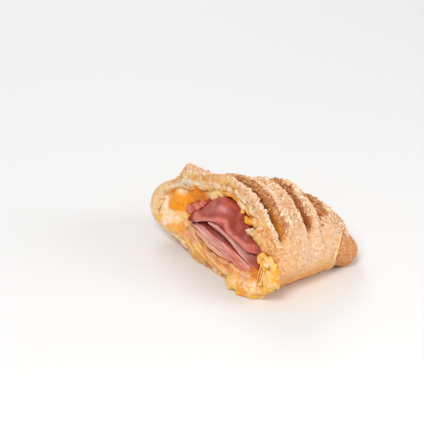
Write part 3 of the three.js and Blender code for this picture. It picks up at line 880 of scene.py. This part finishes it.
# %% Lumps that hang free
# Lumps that hang clear of the solid's front (x, y, z), their radii and colours.
HANGING = (
    ((-8.6, 9.2, 2.2), (1.2, 1.2, 2.2), AMBER),
    ((1.8, 21.5, 52.3), (1.3, 2.0, 1.4), LEMON),
    ((1.2, 16.8, 50.3), (1.6, 2.0, 1.4), AMBER),
    ((0.8, 13.6, 48.3), (1.5, 2.0, 2.4), ORANGE),
    ((-0.6, 16.6, 48), (0.9, 1.2, 0.9), LEMON),
    ((3.2, 9.8, 49.0), (2.6, 3.0, 4.2), CRUMB),
    ((4.8, 24.5, 53.5), (1.6, 3.2, 2.2), MILK),
    ((5, 39, 59), (2.5, 7, 3.5), AMBER),
    # Two balls of the hollow's inner wall, painted pale as painted light.
    ((5.5, 47, 55.5), (2.5, 6, 4.5), LIT_WALL),
    ((6.5, 54, 50), (2.5, 6, 5.5), LIT_WALL),
    ((-3.0, 45, 13.8), (1.8, 5, 1.8), ROSE),
    ((-2.9, 38, 13.0), (1.8, 5, 2.0), ROSE),
    ((-2.6, 31, 12.4), (2.0, 4.5, 2.2), TOFFEE),
    ((-3.0, 25.5, 13.2), (1.8, 4, 1.9), PEACH),
    ((-3.8, 19.5, 13.0), (2.4, 4, 2.2), PEACH),
    ((-3.6, 14, 13.6), (2.2, 3.6, 2.0), ROSE),
    ((-3.4, 8.6, 14.4), (2.2, 3, 2.2), AMBER),
    ((-5.3, 7.4, 14.6), (1.3, 2.3, 1.5), PINK),  # the pale end of a slice of ham
    ((-3.0, 4.8, 17.4), (2.2, 2.8, 2.8), TOFFEE),
    # Orange cheese below the ham, painted darker as painted shade.
    ((-3.4, 4.2, 20.0), (2.0, 3.0, 2.8), SHADED_ORANGE),
    ((-2.8, 1.0, 18), (2, 2.4, 3), DEEP),
    ((-5.6, -10.4, 31.4), (1.5, 2.3, 2.2), MILK),
    ((-2.4, -10.5, 31.5), (2.2, 3.0, 3.4), BUTTER),
)
# A curl of cheese at the top of the near corner: small balls round three quarters of a ring.
CURL_MIDDLE = (-6.0, -8.6, 31.4)
CURL_RADIUS = 3.8
CURL_BALL = (1.2, 1.25, 1.25)
for turn in range(50, 320, 22):
    across = -CURL_RADIUS * math.cos(math.radians(turn))
    up = CURL_RADIUS * math.sin(math.radians(turn))
    middle = tuple(np.add(CURL_MIDDLE, (0, across, up)))
    HANGING += ((middle, CURL_BALL, LEMON if turn > 90 else BUTTER),)
print("lumps that hang free:", len(HANGING))

# %% Push the lumps into the cheese and melt them together
IN_FRONT = -40  # x of a place well in front of the cheese, and of one close to its front
CLOSE_BY = -6
cheese_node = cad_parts["cheese"].data
cheese_tree = BVHTree.FromPolygons(
    [vertex.co for vertex in cheese_node.vertices], [face.vertices for face in cheese_node.polygons]
)


def front_of_cheese(y, z):
    """The x of the solid's front there, in millimetres from the cut."""
    hit = cheese_tree.ray_cast(place(IN_FRONT, y, z), Vector((1, 0, 0)))[0]
    if hit is None:
        hit = cheese_tree.find_nearest(place(CLOSE_BY, y, z))[0]
    return hit.x / MM - CORNER[0]


balls = list(HANGING)
for (y, z), (across, up), bulge, colour in LUMPS:
    deep = 1.5 + 0.5 * min(across, up)
    balls.append(((front_of_cheese(y, z) + deep - bulge, y, z), (deep, across, up), colour))
cheese_balls = [ball(middle, radii) for middle, radii, _ in balls]
cheese = fine_copy("cheese", "melted_cheese", voxel=0.64, smoothing=7, extras=cheese_balls)
points = read_points(cheese)
normals = read_normals(cheese)
print("melted together:", len(balls), "lumps")

# %% [markdown]
# The paint mixes the lumps' colours. Veins, curds and streaks come on top: the ham has pressed
# the cheese flat below it, and there its streaks run along the slices. Noise that is squeezed
# along one direction makes such streaks.

# %% Paint on the cheese
SLICE_SLOPE = math.radians(-21)  # how much the slices slope down towards the near side
SQUEEZE_INWARD = 0.35  # how much streaks are squeezed into the loaf, and across the cut
SQUEEZE_ACROSS = 0.12


def along_slices(points):
    """Places squeezed along the slices, so that lumps there become long streaks."""
    x, y, z = points.T
    level = z + math.tan(SLICE_SLOPE) * y
    return np.column_stack([SQUEEZE_INWARD * x, SQUEEZE_ACROSS * y, level])


x, y, z = points.T
marble = lumps(points, 5, 41) + 0.6 * lumps(points, 2, 43)
streak = lumps(along_slices(points), 1.1, 44)
# The band that the ham has pressed flat, and the gap behind the strands.
pressed = step(y, 23, 30) * step(y, 78, 68) * step(z - 0.12 * y, 13, 9)
gap = spot(points, (-5.8, -4.2, 20), (5, 1.5, 5)) + spot(points, (-5, -11, 27.5), (4, 1, 1.2))
# Each ball gives its colour to the points near it. Far from all of them it is butter yellow.
FAINT = 0.003
weights = FAINT * np.ones(len(points))
rich = np.zeros(len(points))
paint = weights[:, None] * coat(points, *BUTTER)
for middle, radii, colour in balls:
    reach = np.array(radii) + (1.5, 0.8, 0.8)
    nearness = (((points - np.array(middle)) / reach) ** 2).sum(1) + 0.5 * marble
    weight = np.exp(-2.5 * nearness)
    paint += weight[:, None] * np.array(tone(*colour)[:3])
    weights += weight
    if colour in (DEEP, ORANGE, SHADED_ORANGE):
        rich += weight
paint /= weights[:, None]
rich /= weights
print("share of rich orange cheese:", rich.mean().round(2))

# %% Veins, curds and streaks
oozed = (step(z, 16, 9) + step(y, 0, -4)) * (1 - pressed) * step(y, 40, 28)
grain = lumps(points, 1.5, 47)
pale_share = (1 - rich) * (1 - pressed)
vein = lumps(points, 2.2, 48)
paint = brush(paint, 0.5 * pale_share * step(vein, 0.1, 0.6), *CREAM)
paint = brush(paint, 0.5 * pale_share * step(vein, -0.2, -0.7), *BUTTER)
paint = brush(paint, 0.3 * rich * hill(vein, 0.1, 0.12), 255, 196, 96)
paint = brush(paint, 0.5 * pale_share * step(marble, 0.35, 0.8), *MILK)
paint = brush(paint, 0.5 * pale_share * step(marble, -0.4, -0.8), *LEMON)
curds = spot(points, (-7, 5.5, 9.4), (6, 7, 2.4))
paint = brush(paint, 0.9 * curds * step(grain, 0, 0.5), *MILK)
paint = brush(paint, 0.6 * curds * step(grain, -0.1, -0.6), *AMBER)
paint = brush(paint, 0.3 * oozed * step(grain, 0.2, 0.7), *CREAM)
paint = brush(paint, 0.4 * oozed * step(grain, -0.2, -0.7), *AMBER)
paint = brush(paint, 0.4 * rich * step(marble, -0.1, -0.7), *DEEP)
paint = brush(paint, 0.7 * pressed * step(streak, 0.1, 0.5), 250, 206, 162)
paint = brush(paint, 0.7 * pressed * step(streak, -0.1, -0.5), 216, 140, 84)
# Deeper inside the loaf the cheese is painted darker: painted shade in the hollow.
paint = brush(paint, step(x, 6, 16), 186, 100, 24)
paint = brush(paint, 0.9 * gap, *SHADE)
print("share of cheese that the ham has pressed:", pressed.mean().round(2))

# %% [markdown]
# The remesh has rounded the cheese, so its small lumps and curds come after it. The gap behind the
# strands goes in, and the lowest part of the near corner is lifted clear of the table.

# %% Relief of the cheese
shown = step(x, 14, 8) * step(z, 0.3, 3)
relief = 0.4 * lumps(points, 9) + 0.35 * lumps(points, 3.5, 2) + 0.25 * lumps(points, 1.8, 4)
relief += oozed * (0.4 * lumps(points, 3, 6) + 0.3 * grain) + 0.5 * curds * grain
relief += pressed * (0.3 * streak - 0.8)
relief -= 1.2 * step(z, 6, 2) * step(y, 16, 8) + 2.5 * gap
points += normals * (relief * shown)[:, None]
points[:, 2] += 2.4 * step(y, 0, -7) * step(z, 14, 5)
points[:, 2] = np.maximum(points[:, 2], 0)
write_points(cheese, points)
keep(cheese, paint)
print("relief:", relief.min().round(1), "to", relief.max().round(1), "mm")

# %% [markdown]
# Melted cheese is moist and lets some light into it. So its shader has a low roughness, uneven as
# the fat is, and light that scatters a few millimetres below the surface.

# %% Cheese material
melt = Surface("melted_cheese")
clouds = melt.noise(3, 3)
film = melt.noise(1.1, 3)
colour = melt.mix(clouds.rise(0.55, 0.8) * 0.3, melt.paint(), tone(236, 140, 36), "MULTIPLY")
colour = melt.mix(film.rise(0.5, 0.3) * 0.3, colour, tone(240, 176, 96), "MULTIPLY")
colour = melt.mix(film.rise(0.58, 0.78) * 0.1, colour, tone(255, 226, 160))
grain = melt.bump(clouds, 0.5)
melt_material = melt.close(
    Base_Color=colour,
    Roughness=0.2 + 0.4 * clouds,
    Normal=melt.bump(film, 0.2, under=grain),
    Subsurface_Weight=0.15,
    Subsurface_Radius=(0.005, 0.003, 0.001),
    Specular_IOR_Level=0.25,
)
finish_piece(cheese, melt_material, "cheese", "cheese")

# %% [markdown]
# ## Cheese strands
#
# At the near corner the melted cheese has been pulled into a few thin strands, with dark gaps
# between them. A strand is thinner than the remesh's voxels, so each is a curve with a round
# bevel, thick at its ends and thin in its middle, made into a mesh.

# %% Pull a few strands
# The upper and lower end of each strand (x, y, z), and its radius at the ends.
STRANDS = (
    ((-5.8, -5.6, 28.4), (-6.2, -1.6, 13.0), 0.6),
    ((-5.8, -7.4, 28.0), (-6.8, -4.4, 13.4), 0.5),
    ((-5.6, -9.0, 27.8), (-7.0, -6.6, 15.0), 0.8),
)
STRAND_SAG = 0.6
STRAND_BENDS = 4


def strand(top, bottom, radius):
    """One strand, sagging a little away from the cheese behind it."""
    curve = bpy.data.curves.new("strand", "CURVE")
    curve.dimensions = "3D"
    curve.bevel_depth = radius * MM
    curve.bevel_resolution = 2
    curve.use_fill_caps = True
    spline = curve.splines.new("NURBS")
    spline.points.add(STRAND_BENDS)
    for number, point in enumerate(spline.points):
        share = number / STRAND_BENDS
        sag = STRAND_SAG * math.sin(math.pi * share)
        middle = np.array(top) * (1 - share) + np.array(bottom) * share + (-sag, 0, 0)
        point.co = (*place(*middle), 1)
        point.radius = 0.45 + 2.2 * (share - 0.5) ** 2
    spline.use_endpoint_u = True
    held = bpy.data.objects.new("strand", curve)
    bpy.context.collection.objects.link(held)
    choose(held)
    bpy.ops.object.convert(target="MESH")
    return held


strands = [strand(*ends) for ends in STRANDS]
choose(*strands)
bpy.ops.object.join()
strands = strands[-1]
strands.name = strands.data.name = "cheese_strands"
bpy.ops.object.shade_smooth()
points = read_points(strands)
paint = brush(coat(points, *CREAM), step(lumps(points, 3, 45), 0, 0.6), *LEMON)
keep(strands, paint)
finish_piece(strands, melt_material, "cheese")

# %% [markdown]
# ## Folded ham
#
# Cooked ham is pink where a slice was cut, and its flat sides get painted shade, a deep rose.
# Fibres run along each slice and show as fine streaks. Ham is moist, so it is glossy in patches.
# Streaks need noise that is stretched one way, which a Mapping node along the slices gives.

# %% Ham material
cured = Surface("cooked_ham")
fibres = cured.noise(1, 2, where=cured.turned(SLICE_SLOPE, (0.5, 0.08, 0.9)))
flecks = cured.noise(1.6, 3)
edge = cured.value("cut_edge")
colour = cured.mix(fibres.rise(0.5, 0.72) * 0.45 * edge, cured.paint(), tone(244, 190, 178))
colour = cured.mix(fibres.rise(0.5, 0.3) * 0.4 * edge, colour, tone(190, 84, 64), "MULTIPLY")
colour = cured.mix(flecks.rise(0.58, 0.8) * 0.25, colour, tone(232, 160, 148))
colour = cured.mix(flecks.rise(0.45, 0.25) * 0.4, colour, tone(196, 110, 104), "MULTIPLY")
grain = cured.bump(fibres, 0.2)
cured_material = cured.close(
    Base_Color=colour,
    Roughness=0.24 + 0.25 * flecks,
    Normal=cured.bump(flecks, 0.12, under=grain),
    Subsurface_Weight=0.12,
    Subsurface_Radius=(0.006, 0.002, 0.001),
    Specular_IOR_Level=0.35,
)

# %% [markdown]
# The big top slice folds over towards us. Its lip is pale with a painted highlight, its soft
# creases follow the lip, and painted shade darkens the creases, the underside and the near side.
# Slices are limp, so the near ends of the lower ones hang down. A lattice could bend them, but a
# smooth step along y says the same in one line.

# %% Lines along the slices, and their colours
# The fold's lower edge, as y and z, and how far it is shifted up, as y and the shift.
LIP = (
    (-2, 31), (4.5, 32), (12.8, 33), (21.8, 35.2), (27.7, 38.3),
    (31.7, 42.1), (36.7, 41.9), (45.8, 38.2), (52.4, 35.5), (60, 33.2),
)
LIP_SHIFT = ((3, -2.2), (7, -1.6), (11, 0.4), (15, 1.5), (20, 1.5), (26, 0))
# A painted highlight along a ridge of the slice below the fold, as y and z.
RIDGE_HIGHLIGHT = ((6, 29), (10, 30.8), (17, 33.2), (27, 35.4), (36, 38.6))
# How far the near end of each lower slice hangs down, and the y where it starts to and where it
# has come down all the way.
DROOP = {
    "ham_under": (5.0, 26, 4),
    "ham_middle": (2.4, 50, 12),
    "ham_low": (2.4, 50, 12),
    "ham_bottom": (1.5, 50, 12),
}
CORNER_SWELL = 0.6  # how far the small corner slice stands out of its solid
# The first coat of each slice, of its streaks, and of its near end.
SLICES = {
    "ham_corner": ((206, 84, 52), (228, 138, 116), (206, 84, 52)),
    # The fold's darker near end is painted shade.
    "ham_fold": ((186, 88, 70), (196, 104, 92), (170, 70, 54)),
    "ham_under": ((208, 126, 114), (232, 168, 158), (196, 96, 80)),
    "ham_middle": ((222, 132, 116), (240, 176, 166), (226, 128, 102)),
    "ham_low": ((228, 158, 146), (246, 200, 194), (236, 160, 138)),
    "ham_bottom": ((236, 166, 126), (242, 190, 156), (208, 132, 84)),
}
print("slices of ham:", len(SLICES))


# %% Paint on the fold
def paint_fold(points, paint):
    """The big top slice: a lit crown and a pale lip in painted light, and painted shade in its
    soft creases, under its lip and on its near side.
    """
    x, y, z = points.T
    over_lip = z - height_on(LIP, y)
    cloudy = lumps(points, 6, 57)
    # The near side, painted darker as painted shade.
    paint = brush(paint, 0.9 * step(y, 36, 24) * step(over_lip, 2, 6), 154, 54, 38)
    # The crown, painted lighter as painted light, with a painted highlight on top.
    paint = brush(paint, 0.8 * spot(points, (-3, 43, 47), (30, 8, 3.5)), 202, 114, 104)
    paint = brush(paint, 0.9 * spot(points, (-1, 36.5, 49.3), (30, 4, 1.6)), 226, 154, 150)
    paint = brush(paint, 0.8 * spot(points, (0, 68, 33), (30, 5, 4)), 202, 96, 70)
    # The pale lip and the patches just above it: painted highlights.
    paint = brush(paint, 0.9 * spot(points, (-5, 57, 33.4), (30, 9, 1.8)), 236, 150, 134)
    paint = brush(paint, 0.6 * spot(points, (-3, 16, 37.5), (30, 8, 2.5)), 198, 106, 96)
    paint = brush(paint, 0.9 * spot(points, (-3, 8.5, 32), (30, 5, 2.5)), 214, 116, 102)
    paint = brush(paint, hill(over_lip, 1.3, 1.3), 220, 128, 112)
    # The crease above the lip: painted shade.
    paint = brush(paint, 0.5 * hill(over_lip, 4.4, 1.4), 158, 60, 46)
    paint = brush(paint, 0.35 * step(cloudy, 0.1, 0.6), 206, 112, 108)
    paint = brush(paint, 0.35 * step(cloudy, -0.1, -0.6), 138, 40, 38)
    # Below the lip, where the slice turns under: painted shade.
    paint = brush(paint, step(over_lip, -0.5, -2.5), 140, 42, 30)
    return brush(paint, 0.8 * step(x, 3.0, 6), 214, 88, 50)


# %% Shape and paint each slice
for node, (colour, streaked, near_end) in SLICES.items():
    piece = fine_copy(node, node + "_slice", voxel=0.5, smoothing=5)
    points = read_points(piece)
    normals = read_normals(piece)
    x, y, z = points.T
    streak = lumps(along_slices(points), 2.4, 51)
    cut_edge = step(normals[:, 0], -0.4, -0.85)
    under = step(normals[:, 2], -0.2, -0.7) * (1 - cut_edge)
    blunt = step(normals[:, 1], -0.2, -0.7) * step(y, 18, 12)
    if node == "ham_fold":
        under *= 0.2 + 0.8 * step(y, 52, 42)
    if node in ("ham_low", "ham_bottom"):
        under *= 0.3

    relief = 0.1 * streak + 0.3 * lumps(points, 9, 53)
    if node == "ham_corner":
        relief += CORNER_SWELL
    paint = brush(coat(points, *colour), step(y, 32, 16), *near_end)
    if node == "ham_fold":
        over_lip = z - height_on(LIP, y)
        relief += 0.5 * hill(over_lip, 1.4, 1.5) - 0.3 * hill(over_lip, 4.6, 1.4)
        relief += 0.3 * hill(over_lip, 8, 2)
        paint = paint_fold(points, paint)
        cut_edge *= 0.5 * hill(over_lip, 1.2, 1.6)
        points[:, 2] += height_on(LIP_SHIFT, y) * step(over_lip, 8, 1)
    else:
        paint = brush(paint, 0.8 * step(streak, 0.1, 0.5), *streaked)
        paint = brush(paint, 0.5 * step(streak, -0.3, -0.7), 186, 84, 66)
        # The faces between the slices are painted darker: painted shade.
        paint = brush(paint, 0.6 * (1 - cut_edge) * (1 - blunt), 172, 66, 50)
    if node == "ham_under":
        # A painted highlight along the slice's ridge.
        ridge_highlight = hill(z, height_on(RIDGE_HIGHLIGHT, y), 0.7) * step(y, 2, 12)
        paint = brush(paint, 0.75 * ridge_highlight, 246, 188, 178)
    if node in DROOP:
        drop, starts, ends = DROOP[node]
        points[:, 2] -= drop * step(y, starts, ends)
    # Faces that look down are painted dark: painted shade under the slices.
    paint = brush(paint, 0.8 * under, 130, 36, 24)
    # Deeper inside the loaf the ham is painted darker: painted shade in the hollow.
    paint = brush(paint, 0.8 * step(x, 5, 14), 140, 40, 28)
    points += normals * relief[:, None]
    points[:, 2] = np.maximum(points[:, 2], ABOVE_TABLE)
    write_points(piece, points)
    keep(piece, paint, cut_edge=cut_edge)
    finish_piece(piece, cured_material, "ham", node)

# %% [markdown]
# ## Table, light and camera
#
# The half lies on a plain pale table under broad soft lamps. The camera looks down on the cut and
# the near side. A short lens close by would swell the near corner, so a long one looks from far
# away, and the loaf keeps its proportions. Table and lamps are placed in metres, from the middle
# of the base.

# %% Table
TABLE_WIDTH = 6
TABLE_LEVEL = -0.0002  # just below the flat base, so that the two surfaces don't coincide
bpy.ops.object.select_all(action="DESELECT")
bpy.ops.mesh.primitive_plane_add(size=TABLE_WIDTH, location=(0, 0, TABLE_LEVEL))
table = bpy.context.object
table.name = "table"
paper = Surface("pale_table")
table.data.materials.append(paper.close(Base_Color=(0.86, 0.86, 0.86, 1), Roughness=0.9))


# %% Lamps
LIT = Vector((0, 0, 0.03))  # where the lamps point
WORLD_LIGHT = 0.5


def lamp(name, where, width, watts, colour=(1, 1, 1)):
    """A round soft lamp that points at the food."""
    light = bpy.data.lights.new(name, "AREA")
    light.shape = "DISK"
    light.size = width
    light.energy = watts
    light.color = colour
    held = bpy.data.objects.new(name, light)
    held.location = where
    held.rotation_euler = (LIT - Vector(where)).to_track_quat("-Z", "Y").to_euler()
    bpy.context.collection.objects.link(held)


lamp("key", (-0.7, -0.5, 0.9), 0.4, 7.4, (1, 0.98, 0.96))
lamp("fill", (0.5, -0.9, 0.6), 0.6, 4)
lamp("back", (0.3, 0.8, 0.8), 0.5, 3)

world = bpy.data.worlds.new("studio")
world.use_nodes = True
world.node_tree.nodes["Background"].inputs["Color"].default_value = (1, 1, 1, 1)
world.node_tree.nodes["Background"].inputs["Strength"].default_value = WORLD_LIGHT
bpy.context.scene.world = world
bpy.context.scene.view_settings.view_transform = "Standard"

# %% Camera
AIM = place(12.8, 64.45, 31)  # the place on the loaf that is in the middle of the view
SWING = math.radians(-40)  # round the table, from straight in front of the near side
LIFT = math.radians(28)  # above the table
CAMERA_DISTANCE = 1.4  # metres
LENS = 183  # millimetres, like the sensor's width
SENSOR = 36
BACK = Vector((math.sin(SWING) * math.cos(LIFT), -math.cos(SWING) * math.cos(LIFT), math.sin(LIFT)))

camera_data = bpy.data.cameras.new("camera")
camera_data.lens = LENS
camera_data.sensor_width = SENSOR
camera = bpy.data.objects.new("camera", camera_data)
camera.location = AIM + CAMERA_DISTANCE * BACK
camera.rotation_euler = (-BACK).to_track_quat("-Z", "Y").to_euler()
bpy.context.collection.objects.link(camera)
bpy.context.scene.camera = camera
